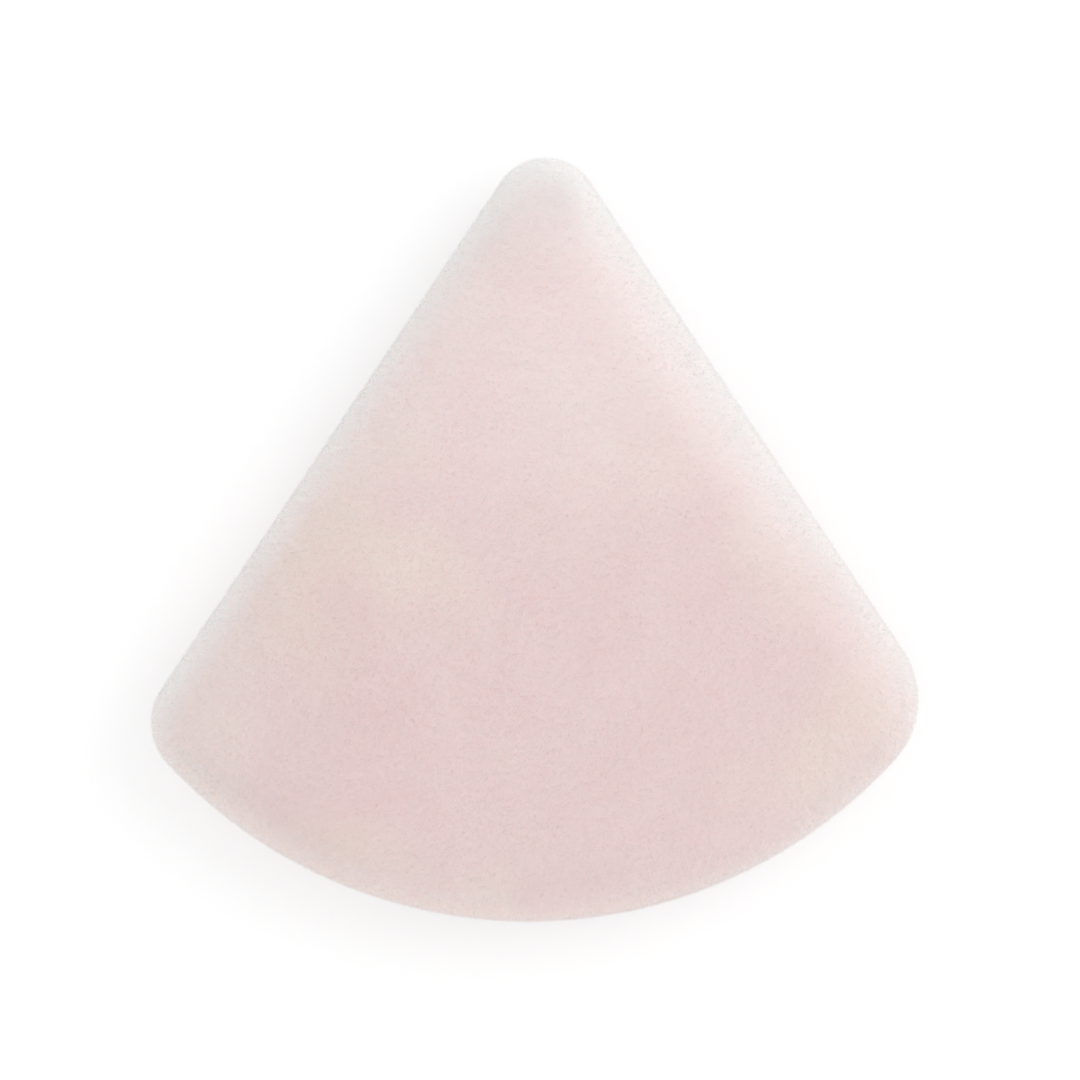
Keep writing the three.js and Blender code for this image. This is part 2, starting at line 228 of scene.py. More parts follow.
class Garden:
    """A Geometry Nodes tree with named inputs, built node by node."""

    def __init__(self, name, sizes):
        self.tree = bpy.data.node_groups.new(name, "GeometryNodeTree")
        sockets = self.tree.interface
        sockets.new_socket("Ground", in_out="INPUT", socket_type="NodeSocketGeometry")
        for size, kind in sizes.items():
            sockets.new_socket(size, in_out="INPUT", socket_type="NodeSocket" + kind)
        sockets.new_socket("Grown", in_out="OUTPUT", socket_type="NodeSocketGeometry")
        self.inputs = self.tree.nodes.new("NodeGroupInput").outputs

    def node(self, kind, inputs, output=0, **settings):
        return add_node(self.tree, kind, inputs, **settings).outputs[output]

    def math(self, operation, first, second, kind="Math"):
        return self.node("ShaderNode" + kind, {0: first, 1: second}, operation=operation)

    def carried(self, name):
        """A value that the ground carries at its points."""
        return self.node("GeometryNodeInputNamedAttribute", {"Name": name}, data_type="FLOAT")

    def finished(self, geometry):
        """Ends the tree: real faces, with the input Material on them."""
        real = self.node("GeometryNodeRealizeInstances", {"Geometry": geometry})
        coloured = self.node("GeometryNodeSetMaterial", {
            "Geometry": real, "Material": self.inputs["Material"]})
        add_node(self.tree, "NodeGroupOutput", {0: coloured})
        return self.tree


def placed(name, data):
    """A new object in the scene."""
    made = bpy.data.objects.new(name, data)
    bpy.context.scene.collection.objects.link(made)
    return made


def grown(name, ground, tree, sizes):
    """The plain mesh that a tree grows on a ground object, which is used up."""
    modifier = ground.modifiers.new(name, "NODES")
    modifier.node_group = tree
    for socket in tree.interface.items_tree:
        if socket.in_out == "INPUT" and socket.name in sizes:
            modifier[socket.identifier] = sizes[socket.name]
    bpy.context.view_layer.update()
    depsgraph = bpy.context.evaluated_depsgraph_get()
    mesh = bpy.data.meshes.new_from_object(ground.evaluated_get(depsgraph))
    bpy.data.objects.remove(ground)
    mesh.name = name
    return placed(name, mesh)


def srgb(red, green, blue):
    """A colour written as 0 to 255 values on a screen, as the shaders' linear colour."""
    shares = np.array([red, green, blue]) / 255
    linear = np.where(shares <= 0.04045, shares / 12.92, ((shares + 0.055) / 1.055) ** 2.4)
    return (*linear.tolist(), 1.0)


def inside_radius():
    """Radius of the largest circle inside the outline."""
    slope = 1 / math.sin(HALF_TIP_ANGLE)
    centre_squared = ARC_CENTRE_BELOW_TIP**2 + ARC_CENTRE_TO_LEFT**2
    a = slope**2 - 1
    b = ARC_RADIUS - ARC_CENTRE_BELOW_TIP * slope
    return (math.sqrt(b * b - a * (centre_squared - ARC_RADIUS**2)) - b) / a


INSIDE_RADIUS = inside_radius()
ARC_CENTRE = np.array([-ARC_CENTRE_TO_LEFT, -ARC_CENTRE_BELOW_TIP])


def corner_centre(side, depth):
    """Centre of a corner's round, `depth` inside its side and inside the curved edge."""
    start = np.array([0, -depth / math.sin(HALF_TIP_ANGLE)])
    along = np.array([side * math.sin(HALF_TIP_ANGLE), -math.cos(HALF_TIP_ANGLE)])
    off = start - ARC_CENTRE
    b = off @ along
    c = off @ off - (ARC_RADIUS - depth) ** 2
    return start + along * (math.sqrt(b * b - c) - b)


def arc_points(centre, radius, start, end, steps):
    turns = np.linspace(start, end, steps, endpoint=False)
    return centre + radius * np.stack([np.cos(turns), np.sin(turns)], axis=1)


def line_points(start, end, steps):
    shares = np.linspace(0, 1, steps, endpoint=False)[:, None]
    return start + shares * (end - start)


def facing(side):
    """The direction that a straight side faces: -1 is the left one, 1 the right one."""
    return np.array([side * math.cos(HALF_TIP_ANGLE), math.sin(HALF_TIP_ANGLE)])


def turn_of(point):
    """The turn about the middle of the curved edge at which a point lies."""
    return math.atan2(*(point - ARC_CENTRE)[::-1]) % (2 * math.pi)


def outline(inset):
    """The outline at an inset, counter-clockwise from the right of the tip.
    The point where the straight sides would cross is at the origin."""
    shrink = 1 - inset / INSIDE_RADIUS
    tip_round = TIP_ROUND * shrink
    left_round = LEFT_CORNER_ROUND * shrink
    right_round = RIGHT_CORNER_ROUND * shrink
    tip = np.array([0, -(inset + tip_round) / math.sin(HALF_TIP_ANGLE)])
    left = corner_centre(-1, inset + left_round)
    right = corner_centre(1, inset + right_round)
    left_turn, right_turn = math.pi - HALF_TIP_ANGLE, 2 * math.pi + HALF_TIP_ANGLE
    left_off, right_off = facing(-1), facing(1)
    stretches = [
        arc_points(tip, tip_round, HALF_TIP_ANGLE, left_turn, TIP_STEPS),
        line_points(tip + tip_round * left_off, left + left_round * left_off, SIDE_STEPS),
        arc_points(left, left_round, left_turn, turn_of(left), LEFT_CORNER_STEPS),
        arc_points(ARC_CENTRE, ARC_RADIUS - inset, turn_of(left), turn_of(right), ARC_STEPS),
        arc_points(right, right_round, turn_of(right), right_turn, RIGHT_CORNER_STEPS),
        line_points(right + right_round * right_off, tip + tip_round * right_off, SIDE_STEPS),
    ]
    return np.concatenate(stretches)


def gap_turns():
    """Where the turning gap starts and ends on the curved edge."""
    corners = corner_centre(-1, LEFT_CORNER_ROUND), corner_centre(1, RIGHT_CORNER_ROUND)
    middle = sum(turn_of(corner) for corner in corners) / 2
    half = CLOSED_GAP_LENGTH / ARC_RADIUS / 2
    return middle - half, middle + half


OUTER = outline(0)
RING_POINTS = len(OUTER)
CAD_MIDDLE = (np.array(CAD_BOX[0]) + np.array(CAD_BOX[1])) / 2
TO_FRAME = CAD_MIDDLE[:2] - (OUTER.min(0) + OUTER.max(0)) / 2
MIDDLE = TO_FRAME + np.array([0, -INSIDE_RADIUS / math.sin(HALF_TIP_ANGLE)])

FRONT_FACE_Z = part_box("front_cover")[1].z
FRONT_FOLD_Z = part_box("front_cover")[0].z
BACK_FACE_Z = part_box("back_cover")[0].z
BACK_FOLD_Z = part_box("back_cover")[1].z
SEAM_Z = (FRONT_FOLD_Z + BACK_FOLD_Z) / 2
FRONT_WIDEST_Z = SEAM_Z + FRONT_ROLL
BACK_WIDEST_Z = SEAM_Z - BACK_WIDEST_BELOW_SEAM
FRONT_ALLOWANCE_Z = FRONT_FOLD_Z + CLOTH_AND_PILE
BACK_ALLOWANCE_Z = BACK_FOLD_Z - CLOTH_AND_PILE
ALLOWANCE_INSET = SEAM_INSET + SEAM_ALLOWANCE
RIBBON_HALF_WIDTH = (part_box("strap_span")[1].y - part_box("strap_span")[0].y) / 2
RIBBON_Y = TO_FRAME[1] - RIBBON_BELOW_TIP


def crown(turns, under, edge_inset, width, fullness, edge_z, rise):
    """Insets and heights along a cover's crown, `under` its surface. Turn 0 is its edge."""
    across = np.abs(np.cos(turns)) ** (2 / fullness)
    up = np.abs(np.sin(turns)) ** (2 / fullness)
    normal = np.stack([-(across ** (fullness - 1)) / width, up ** (fullness - 1) / rise], 1)
    normal /= np.linalg.norm(normal, axis=1)[:, None]
    inset = edge_inset + width * (1 - across) - under * normal[:, 0]
    return np.stack([inset, edge_z + rise * up - under * normal[:, 1]], 1)


QUARTER_TURN = np.linspace(0, math.pi / 2, 900)


def back_curve(under):
    fall = BACK_FACE_Z - BACK_WIDEST_Z
    return crown(QUARTER_TURN, under, BACK_INSET, BACK_ROLL_WIDTH, BACK_FULLNESS,
                 BACK_WIDEST_Z, fall)


def evenly(section, count, bunching=1.0):
    """The section as `count` points, closer together at its start where bunching is over 1.
    Its last point is left out."""
    gone = np.concatenate([[0], np.cumsum(np.linalg.norm(np.diff(section, axis=0), axis=1))])
    wanted = np.linspace(0, 1, count, endpoint=False) ** bunching * gone[-1]
    return np.stack([np.interp(wanted, gone, section[:, k]) for k in (0, 1)], 1)


def front_crown(under):
    rise = FRONT_FACE_Z - FRONT_WIDEST_Z
    curve = crown(QUARTER_TURN, under, 0, INSIDE_RADIUS, FRONT_FULLNESS, FRONT_WIDEST_Z, rise)
    return evenly(curve, CROWN_RINGS, bunching=1.5)


def back_crown(under):
    return evenly(back_curve(under), CROWN_RINGS - FLAT_RINGS, bunching=1.3)


def lip(widest, fold_z):
    """The quarter round from a cover's widest line to the fold at the seam."""
    turns = np.linspace(0, math.pi / 2, LIP_RINGS + 1)[1:]
    inset = widest[0] + (SEAM_INSET - widest[0]) * (1 - np.cos(turns))
    return np.stack([inset, widest[1] + (fold_z - widest[1]) * np.sin(turns)], 1)


def ring_points(section):
    """The points of a section's rings, ring by ring."""
    return np.concatenate([
        np.column_stack([outline(inset) + TO_FRAME, np.full(RING_POINTS, z)])
        for inset, z in section])


def ring_faces(count, first_pole=None, last_pole=None, ring=RING_POINTS):
    """Quads between rings that follow each other, and fans to the poles that are given."""
    faces = []
    following = [(i, (i + 1) % ring) for i in range(ring)]
    if first_pole is not None:
        faces += [(first_pole, i, j) for i, j in following]
    for k in range(count - 1):
        a, b = k * ring, (k + 1) * ring
        faces += [(a + i, b + i, b + j, a + j) for i, j in following]
    if last_pole is not None:
        a = (count - 1) * ring
        faces += [(a + i, last_pole, a + j) for i, j in following]
    return faces


def new_object(name, points, faces, materials, edges=()):
    mesh = bpy.data.meshes.new(name)
    mesh.from_pydata([tuple(map(float, p)) for p in points], edges, faces)
    for material in materials:
        mesh.materials.append(material)
    if faces:
        mesh.shade_smooth()
    return placed(name, mesh)


def carry(piece, name, values):
    """Keeps a value at each of a mesh's points for its material or its tree."""
    attribute = piece.data.attributes.new(name, "FLOAT", "POINT")
    attribute.data.foreach_set("value", np.asarray(values, np.float32))


def smooth(values, low, high):
    """0 at low, 1 at high and smooth between them. Low may be above high."""
    shares = np.clip((np.asarray(values) - low) / (high - low), 0, 1)
    return shares * shares * (3 - 2 * shares)


def side_inset(points, side):
    """How far points lie inside a straight side."""
    return -(points[:, :2] - TO_FRAME) @ facing(side)


def arc_inset(points):
    """How far points lie inside the curved edge."""
    return ARC_RADIUS - np.linalg.norm(points[:, :2] - TO_FRAME - ARC_CENTRE, axis=1)


def edge_inset(points):
    """How far points lie inside the outline, with its rounds."""
    flat = points[:, :2] - TO_FRAME
    sides = np.minimum(side_inset(points, -1), side_inset(points, 1))
    inset = np.minimum(sides, arc_inset(points))
    tip = np.array([0, -TIP_ROUND / math.sin(HALF_TIP_ANGLE)])
    off = flat - tip
    at_tip = off[:, 1] > np.abs(off[:, 0]) * math.tan(HALF_TIP_ANGLE)
    inset = np.where(at_tip, TIP_ROUND - np.linalg.norm(off, axis=1), inset)
    for side, size in ((-1, LEFT_CORNER_ROUND), (1, RIGHT_CORNER_ROUND)):
        centre = corner_centre(side, size)
        off, out = flat - centre, centre - ARC_CENTRE
        way_round = side * (off[:, 0] * out[1] - off[:, 1] * out[0]) < 0
        way_down = side * (off[:, 0] * facing(side)[1] - off[:, 1] * facing(side)[0]) > 0
        beyond = way_round & way_down & (off @ (facing(side) + out / np.linalg.norm(out)) > 0)
        inset = np.where(beyond, size - np.linalg.norm(off, axis=1), inset)
    return inset


def drift(points, start, broad, small_start, small, small_share):
    """Noise at each point, in broad patches and in small ones."""
    return np.array([
        noise.noise(Vector(p) / broad + Vector(start))
        + small_share * noise.noise(Vector(p) / small + Vector(small_start))
        for p in points.tolist()])


def lumps(points):
    """How far the pad pushes each point of a cover up or lets it down."""
    start = (3.1, 7.7, 0.4)
    return LUMP_HEIGHT * drift(points, start, 17 * MM, start, 6 * MM, small_share=0.3)


def over_ribbon_end(points):
    """1 where a ribbon end passes between the covers, and 0 away from it."""
    beyond = np.abs(points[:, 1] - RIBBON_Y) - RIBBON_HALF_WIDTH
    inset = np.minimum(side_inset(points, -1), side_inset(points, 1))
    return smooth(beyond, 2.5 * MM, 0.3 * MM) * smooth(inset, 9 * MM, 7.5 * MM)


def stuffed(points, pole, up):
    """The outside of a cover after the pad has filled it: a simulation of its cloth, ten
    times the size, held at the seam with pressure behind it, on every second ring point.
    Its movement is kept under `most` and smoothed along the rings, against creases."""
    scale, every, most, frames, smoothings = 10.0, 2, 0.26 * MM, 20, 4
    start = points.reshape(-1, RING_POINTS, 3)
    rings, count = len(start), RING_POINTS // every
    coarse = start[:, ::every].reshape(-1, 3)
    vertices = np.vstack([coarse, pole]) * scale
    poles = (len(coarse), None) if up else (None, len(coarse))
    cloth = new_object("stuffed_cloth", vertices, ring_faces(rings, *poles, count), [])
    lip_rings = range(rings - LIP_RINGS - 1, rings) if up else range(LIP_RINGS + 1)
    held = cloth.vertex_groups.new(name="held")
    held.add([k * count + i for k in lip_rings for i in range(count)], 1.0, "REPLACE")
    modifier = cloth.modifiers.new("stuffing", "CLOTH")
    modifier.collision_settings.use_collision = False
    for name, value in {
        "quality": 6, "mass": 0.15, "tension_stiffness": 20, "compression_stiffness": 20,
        "shear_stiffness": 8, "bending_stiffness": 2, "shrink_min": -0.012,
        "use_pressure": True, "uniform_pressure_force": 3.0, "vertex_group_mass": "held",
    }.items():
        setattr(modifier.settings, name, value)
    modifier.settings.effector_weights.gravity = 0
    scene = bpy.context.scene
    scene.frame_start, scene.frame_end = 1, frames
    for number in range(1, frames + 1):
        scene.frame_set(number)
    evaluated = cloth.evaluated_get(bpy.context.evaluated_depsgraph_get())
    settled = np.zeros(len(vertices) * 3)
    evaluated.data.vertices.foreach_get("co", settled)
    scene.frame_set(1)
    bpy.data.objects.remove(cloth)
    moved = ((settled.reshape(-1, 3) - vertices) / scale)[:-1]
    far = np.linalg.norm(moved, axis=1)
    moved *= (most * np.tanh(far / most) / np.maximum(far, 1e-9))[:, None]
    moved = moved.reshape(rings, count, 3)
    for _ in range(smoothings):
        moved = (np.roll(moved, 1, axis=1) + 2 * moved + np.roll(moved, -1, axis=1)) / 4
    fine = np.empty_like(start)
    fine[:, ::every] = moved
    fine[:, 1::every] = (moved + np.roll(moved, -1, axis=1)) / 2
    return points + fine.reshape(-1, 3)


class Cover:
    """A velour cover. Its outside runs from the middle to the seam's fold on the front, and
    from the fold to the middle on the back."""

    def __init__(self, name, node, outside, inside, pole_z, inner_pole_z, up):
        self.name, self.node, self.inside, self.up = name, node, inside, up
        self.rings = len(outside)
        self.pole = np.array([*MIDDLE, pole_z])
        self.inner_pole = np.array([*MIDDLE, inner_pole_z])
        self.fold_z = FRONT_FOLD_Z if up else BACK_FOLD_Z
        points = ring_points(outside)
        points = stuffed(points, self.pole, up)
        free = smooth(edge_inset(points), 1 * MM, 6 * MM)
        points[:, 2] += lumps(points) * free
        widest_z = FRONT_WIDEST_Z if up else BACK_WIDEST_Z
        self.part_for_ribbon(points, smooth(points[:, 2], widest_z, self.fold_z))
        innermost = points[:RING_POINTS] if up else points[-RING_POINTS:]
        self.pole[2] = innermost[:, 2].mean()
        self.points = points

    def part_for_ribbon(self, points, share):
        """Lifts the cloth off the ribbon ends at the seam, by a share at each point."""
        away = RIBBON_ROOM if self.up else -RIBBON_ROOM
        points[:, 2] += away * share * over_ribbon_end(points)

    def body(self, materials):
        """The cover as a closed piece, with its allowance turned in."""
        inner = ring_points(self.inside)
        at_fold = np.abs(inner[:, 2] - self.fold_z) < 0.1 * MM
        self.part_for_ribbon(inner, at_fold)
        rings, inside_faces = self.rings + len(self.inside), len(self.inside) * RING_POINTS
        if self.up:
            points = np.vstack([self.points, inner, self.pole, self.inner_pole])
        else:
            points = np.vstack([inner, self.points, self.inner_pole, self.pole])
        faces = ring_faces(rings, len(points) - 2, len(points) - 1)
        cover = new_object(self.name, points, faces, materials)
        backing = np.zeros(len(faces), np.int32)
        backing[slice(-inside_faces, None) if self.up else slice(inside_faces)] = 1
        cover.data.polygons.foreach_set("material_index", backing)
        carry_tones(cover, points)
        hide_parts(self.node)
        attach(cover, "puff")

    def ground(self, name):
        """The outside alone, for the pile to grow on, and its points."""
        points = np.vstack([self.points, self.pole])
        poles = (len(points) - 1, None) if self.up else (None, len(points) - 1)
        return new_object(name, points, ring_faces(self.rings, *poles), []), points


def front_cover():
    widest_first = front_crown(PILE_DEPTH)
    outside = np.vstack([widest_first[::-1], lip(widest_first[0], FRONT_FOLD_Z)])
    under = front_crown(CLOTH_AND_PILE)
    inside = np.vstack([
        [(ALLOWANCE_INSET, FRONT_FOLD_Z), (ALLOWANCE_INSET, FRONT_ALLOWANCE_Z)],
        [(CLOTH_AND_PILE, FRONT_ALLOWANCE_Z)],
        under[under[:, 1] > FRONT_ALLOWANCE_Z + CLEARANCE],
    ])
    return Cover("front_velour", "front_cover", outside, inside,
                 FRONT_FACE_Z - PILE_DEPTH, FRONT_FACE_Z - CLOTH_AND_PILE, up=True)


def flat_rings(z):
    """Rings from the edge of the back's flat middle to near its centre."""
    insets = np.linspace(FLAT_INSET, INSIDE_RADIUS - 1 * MM, FLAT_RINGS)
    return np.stack([insets, np.full(FLAT_RINGS, z)], 1)


def back_cover():
    widest_first = back_crown(PILE_DEPTH)
    outside = np.vstack([
        lip(widest_first[0], BACK_FOLD_Z)[::-1],
        widest_first,
        flat_rings(BACK_FACE_Z + PILE_DEPTH),
    ])
    under = back_crown(CLOTH_AND_PILE)
    inside = np.vstack([
        flat_rings(BACK_FACE_Z + CLOTH_AND_PILE)[::-1],
        under[under[:, 1] < BACK_ALLOWANCE_Z - CLEARANCE][::-1],
        [(BACK_INSET + CLOTH_AND_PILE, BACK_ALLOWANCE_Z)],
        [(ALLOWANCE_INSET, BACK_ALLOWANCE_Z), (ALLOWANCE_INSET, BACK_FOLD_Z)],
    ])
    return Cover("back_velour", "back_cover", outside, inside,
                 BACK_FACE_Z + PILE_DEPTH, BACK_FACE_Z + CLOTH_AND_PILE, up=False)


def together(*shares):
    """Shares that act one after another, as one share."""
    return 1 - np.prod([1 - share for share in shares], axis=0)


def from_left_corner(points):
    """How far points lie from the middle of the left corner's round."""
    middle = corner_centre(-1, LEFT_CORNER_ROUND) + TO_FRAME
    return np.linalg.norm(points[:, :2] - middle, axis=1)


def painted_light(points):
    """How far the velour is painted brighter: painted light on the right side, the upper half
    and the tip, a painted sheen round the rim, less at the curved edge, and painted shade
    on the face near the left side and at the left corner.
    """
    x, y = points[:, 0], points[:, 1]
    at_corner = smooth(from_left_corner(points), 26 * MM, 8 * MM)
    face = 0.25 * smooth(side_inset(points, -1), 5 * MM, 14 * MM) * (1 - at_corner)
    upper_half = 0.6 * smooth(y, -8 * MM, 22 * MM) * smooth(y, 38 * MM, 24 * MM)
    tip = 0.5 * smooth(y, 35 * MM, 39 * MM)
    on_right = smooth(y, 36 * MM, 26 * MM) * (1 - 0.5 * smooth(y, 8 * MM, -6 * MM))
    right_band = smooth(side_inset(points, 1), 9 * MM, 2 * MM) * on_right
    on_arc = smooth(arc_inset(points), 5 * MM, 2 * MM) * smooth(x, -20 * MM, 30 * MM)
    rim = smooth(edge_inset(points), 3.8 * MM, 0.6 * MM) * (1 - 0.4 * on_arc)
    return together(face, upper_half, tip, right_band, rim)


def painted_sheen(points):
    """How far a pale sheen is painted on the velour, grey where less light is painted and white
    where more is: most at the right side, and less below the edge's widest line and on the back."""
    y, z, left = points[:, 1], points[:, 2], side_inset(points, -1)
    on_right = 0.66 - 0.2 * smooth(y, 8 * MM, -6 * MM)
    right_band = on_right * smooth(side_inset(points, 1), 5.2 * MM, 0)
    left_rim = 0.7 * smooth(left, 5 * MM, -1 * MM)
    left_band = 0.08 * smooth(left, 12 * MM, 4 * MM)
    corner = 0.24 * smooth(from_left_corner(points), 20 * MM, 4 * MM)
    upper_end = 0.65 * smooth(y, 25 * MM, 37 * MM)
    tip = 0.3 * smooth(y, 35 * MM, 39 * MM)
    in_sight = 0.25 + 0.75 * smooth(z, SEAM_Z, FRONT_WIDEST_Z - 0.2 * MM)
    return in_sight * together(right_band, left_rim, left_band, corner, upper_end, tip)


def rosy(points):
    """How far the velour drifts from beige to rose: more at the left corner, and less in a
    patch above the middle."""
    drifting = drift(points * (1, 1, 0), (3.2, 32.0, 41.7), 26 * MM,
                     (25.9, 25.3, 13.6), 7 * MM, small_share=0.6)
    at_corner = 0.35 * smooth(from_left_corner(points), 22 * MM, 8 * MM)
    beige_patch = np.array([5.5, 12]) * MM
    in_patch = smooth(np.linalg.norm(points[:, :2] - beige_patch, axis=1), 15 * MM, 3 * MM)
    return together(smooth(drifting, -0.38, 0.38), at_corner) * (1 - 0.6 * in_patch)


def peachy(points):
    """How far the painted light is peach: at the curved edge, less to the right."""
    return (smooth(arc_inset(points), 2.6 * MM, 0.8 * MM)
            * (1 - 0.6 * smooth(points[:, 0], 8 * MM, 28 * MM)))


def carry_tones(piece, points):
    # The tones kept at the points: painted light, painted sheen, the rose drift, and the painted
    # light's peach.
    for tone in (painted_light, painted_sheen, rosy, peachy):
        carry(piece, tone.__name__, tone(points))


# Colours of the pile's roots and of its tips: beige, rose, then the painted light's bright
# and peach, then the painted sheen's grey on its shaded side and white on its lit side.
ROOTS = [srgb(234, 219, 213), srgb(232, 211, 210), srgb(243, 232, 231), srgb(248, 231, 226),
         srgb(236, 233, 232), srgb(243, 242, 240)]
TIPS = [srgb(239, 225, 219), srgb(238, 217, 217), srgb(247, 236, 235), srgb(252, 235, 230),
        srgb(240, 237, 236), srgb(247, 246, 244)]


def velour_tint(finish, beige, rose, painted_light_tone, peach, grey, white):
    """Velour drifts between beige and rose. Where light is painted on it, it is brighter, or
    peach at the curved edge, and where a pale sheen is painted, it is grey where less light
    is painted and white where more is."""
    painted_light_share = finish.attribute("painted_light")
    patchy = (painted_light_share + (finish.noise(7 * MM, 2.0) - 0.5) * 0.3).clamped()
    tint = finish.mixed(finish.attribute("rosy"), beige, rose)
    painted_light_tone = finish.mixed(finish.attribute("peachy"), painted_light_tone, peach)
    tint = finish.mixed(patchy, tint, painted_light_tone)
    return finish.mixed(finish.attribute("painted_sheen"), tint, finish.mixed(painted_light_share, grey, white))


# The sheen of velour, and how far light spreads inside it.
VELOUR = {
    "Specular_IOR_Level": 0.2, "Sheen_Weight": 0.8, "Sheen_Roughness": 0.5,
    "Subsurface_Weight": 1.0, "Subsurface_Radius": (1.0, 0.8, 0.75),
    "Subsurface_Scale": 0.7 * MM}


def velour_ground(name):
    """The cloth under the pile. Its fine grain doesn't show where the pale sheen is painted."""
    finish = Finish(name)
    grain = finish.step(finish.noise(0.4 * MM, 3.0), 0.25, 0.75)
    share = finish.attribute("painted_sheen") * -0.12 + 0.12
    tint = finish.mixed(grain * share, velour_tint(finish, *ROOTS), srgb(226, 202, 199))
    weave = finish.bump(finish.noise(0.3 * MM, 2.0), 0.015 * MM, 0.4)
    return finish.surface(Base_Color=tint, Roughness=0.9, Normal=weave, **VELOUR)


def pile_finish(name):
    """The fibres, paler at their tips than at their roots."""
    finish = Finish(name)
    roots, tips = velour_tint(finish, *ROOTS), velour_tint(finish, *TIPS)
    tint = finish.mixed(finish.attribute("along"), roots, tips)
    return finish.surface(Base_Color=tint, Roughness=0.8, **VELOUR)


def knit_backing(name):
    """The smooth side of the velour: a fine knit, in columns and courses of loops."""
    finish = Finish(name)
    knit = finish.bands("X", 0.52 * MM, 1.5) * 0.6 + finish.bands("Y", 0.4 * MM, 2.5) * 0.4
    return finish.surface(
        Base_Color=finish.mixed(knit, srgb(212, 186, 181), srgb(232, 212, 207)),
        Roughness=0.85, Specular_IOR_Level=0.3, Normal=finish.bump(knit, 0.1 * MM, 0.6))


def open_foam(name):
    """Soft cut foam with open cells, a little yellowed."""
    finish, cell = Finish(name), 0.55 * MM
    from_middle = finish.node(
        "TexVoronoi", {"Vector": finish.place(), "Scale": 1 / cell}, "Distance")
    # The middle of each cell is darker: painted shade in the open pores.
    cells = finish.step(from_middle, 0.15, 0.5)
    tint = finish.mixed(cells, srgb(205, 196, 178), srgb(245, 240, 230))
    return finish.surface(
        Base_Color=finish.mixed(finish.noise(8 * MM) * 0.3, tint, srgb(240, 229, 205)),
        Roughness=0.95, Specular_IOR_Level=0.2, Normal=finish.bump(cells, 0.25 * MM, 0.8))


def spun_thread(name):
    finish = Finish(name)
    fuzz = finish.noise(0.12 * MM, 3.0)
    return finish.surface(
        Base_Color=finish.mixed(fuzz, srgb(224, 197, 192), srgb(243, 226, 221)),
        Roughness=0.55, Sheen_Weight=0.3, Normal=finish.bump(fuzz, 0.04 * MM, 0.5))


def satin(name):
    """Ribbon satin: long floats across a fine warp, and a matt woven edge."""
    finish = Finish(name)
    warp = finish.bands("Y", 0.16 * MM, 0.6)
    stretched = finish.node(
        "VectorMath", {0: finish.place(), 1: (0.15, 1.0, 1.0)}, operation="MULTIPLY")
    slubs = finish.noise(1.2 * MM, 2.0, stretched)
    edge = finish.attribute("selvedge")
    tint = finish.mixed(slubs, srgb(228, 203, 199), srgb(242, 223, 219))
    return finish.surface(
        Base_Color=finish.mixed(edge, tint, srgb(222, 194, 190)),
        Roughness=edge * 0.3 + 0.34 + slubs * 0.1, Specular_IOR_Level=0.6,
        Sheen_Weight=0.25, Normal=finish.bump(warp + edge * slubs, 0.03 * MM, 0.35))


def pile_tree():
    """Fibres at random places, leaning with the nap and a little each its own way."""
    garden = Garden("pile", {
        "Density": "Float", "Length": "Float", "Radius": "Float", "Lean": "Float",
        "Seed": "Int", "Material": "Material"})
    sizes = garden.inputs
    swirl_width, shortest, tallest = 14 * MM, 0.6, 1.15
    noise_mean_less_nap = (0.5, 0.72, 0.5)
    density = garden.math("MULTIPLY", sizes["Density"], garden.carried("growth"))
    scattered = garden.node("GeometryNodeDistributePointsOnFaces", {
        "Mesh": sizes["Ground"], "Density": density, "Seed": sizes["Seed"],
    }, distribute_method="RANDOM").node.outputs
    place = garden.node("GeometryNodeInputPosition", {})
    swirl = garden.node("ShaderNodeTexNoise", {
        "Vector": place, "Scale": 1 / swirl_width, "Detail": 1.0}, "Color")
    swirl = garden.math("SUBTRACT", swirl, noise_mean_less_nap, "VectorMath")
    own = garden.node("FunctionNodeRandomValue", {
        0: (-0.5, -0.5, -0.5), 1: (0.5, 0.5, 0.5), "Seed": sizes["Seed"],
    }, data_type="FLOAT_VECTOR")
    own = garden.math("ADD", swirl, own, "VectorMath")
    lean = garden.node("ShaderNodeVectorMath", {0: own, "Scale": sizes["Lean"]},
                       operation="SCALE")
    aim = garden.math("ADD", scattered["Normal"], lean, "VectorMath")
    turn = garden.node("FunctionNodeAlignRotationToVector", {"Vector": aim}, axis="Z")
    fibre = garden.node("GeometryNodeMeshCone", {
        "Vertices": 3, "Side Segments": 1, "Radius Top": 0.0,
        "Radius Bottom": sizes["Radius"], "Depth": sizes["Length"]}, fill_type="NGON")
    height = garden.node("ShaderNodeSeparateXYZ", {"Vector": place}, "Z")
    along = garden.math("DIVIDE", height, sizes["Length"])
    fibre = garden.node("GeometryNodeStoreNamedAttribute", {
        "Geometry": fibre, "Name": "along", "Value": along}, data_type="FLOAT")
    size = garden.node("FunctionNodeRandomValue", {
        2: shortest, 3: tallest, "Seed": sizes["Seed"]}, 1, data_type="FLOAT")
    tall = garden.math("MULTIPLY", size, garden.carried("upright"))
    scale = garden.node("ShaderNodeCombineXYZ", {0: 1.0, 1: 1.0, 2: tall})
    pile = garden.node("GeometryNodeInstanceOnPoints", {
        "Points": scattered["Points"], "Instance": fibre, "Rotation": turn, "Scale": scale})
    return garden.finished(pile)


